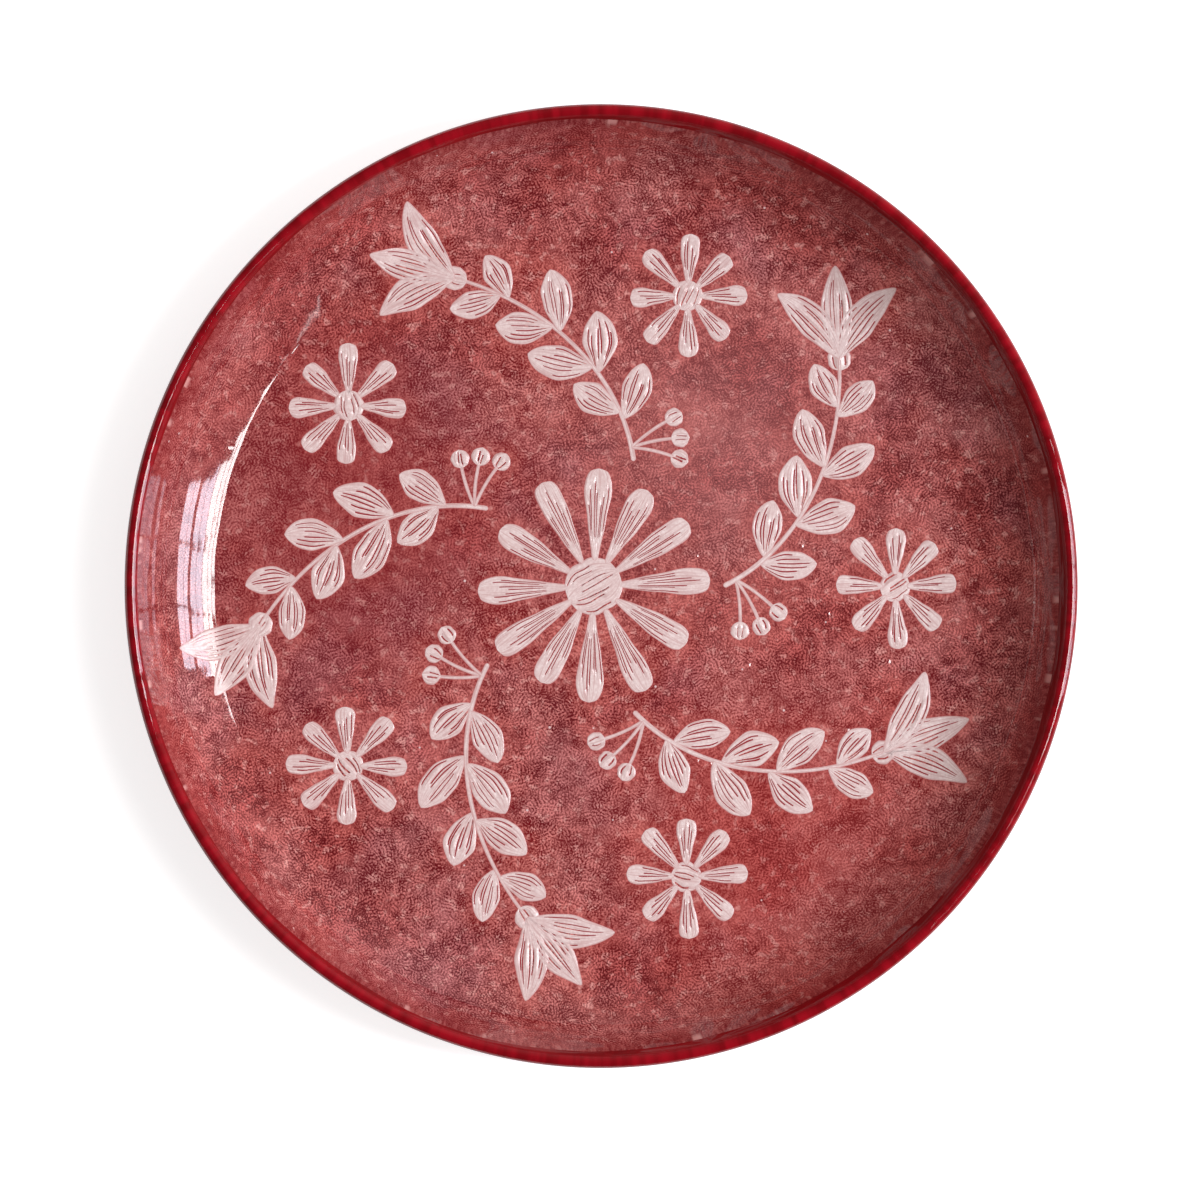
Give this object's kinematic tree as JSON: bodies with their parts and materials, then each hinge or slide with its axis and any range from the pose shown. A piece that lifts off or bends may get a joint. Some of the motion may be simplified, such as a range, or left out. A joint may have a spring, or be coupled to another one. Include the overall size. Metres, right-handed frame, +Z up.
{
  "type": "ceramic plate",
  "caption": "Round coupe dinner plate of glazed stoneware with a flat well, a steep raised wall, a rounded lip with a darker band, a bare foot ring and a raised slip ornament.",
  "frame": {"origin": "centre of the circle on which the foot ring stands, at table height", "axes": "+Z up along the plate's axis; +X and +Y lie on the table, and the first daisy of the ornament lies towards +X"},
  "size_m": [0.27, 0.27, 0.028],
  "materials": {
    "fired_clay": "bare vitrified buff stoneware, matt and slightly rough",
    "red_glaze": "glossy opaque mottled pinkish red reactive glaze",
    "crimson_glaze": "glossy opaque dark crimson glaze",
    "white_slip": "glossy glazed pinkish white slip with thin scratched lines"
  },
  "bodies": {
    "root": {"clay_body": "fired_clay", "face_glaze": "red_glaze", "rim_band": "crimson_glaze", "back_glaze": "crimson_glaze", "base_glaze": "crimson_glaze", "rosette_slip": "white_slip", "sprig_slip_1": "white_slip", "sprig_slip_2": "white_slip", "sprig_slip_3": "white_slip", "sprig_slip_4": "white_slip", "sprig_slip_5": "white_slip", "daisy_slip_1": "white_slip", "daisy_slip_2": "white_slip", "daisy_slip_3": "white_slip", "daisy_slip_4": "white_slip", "daisy_slip_5": "white_slip"}
  },
  "joints": []
}
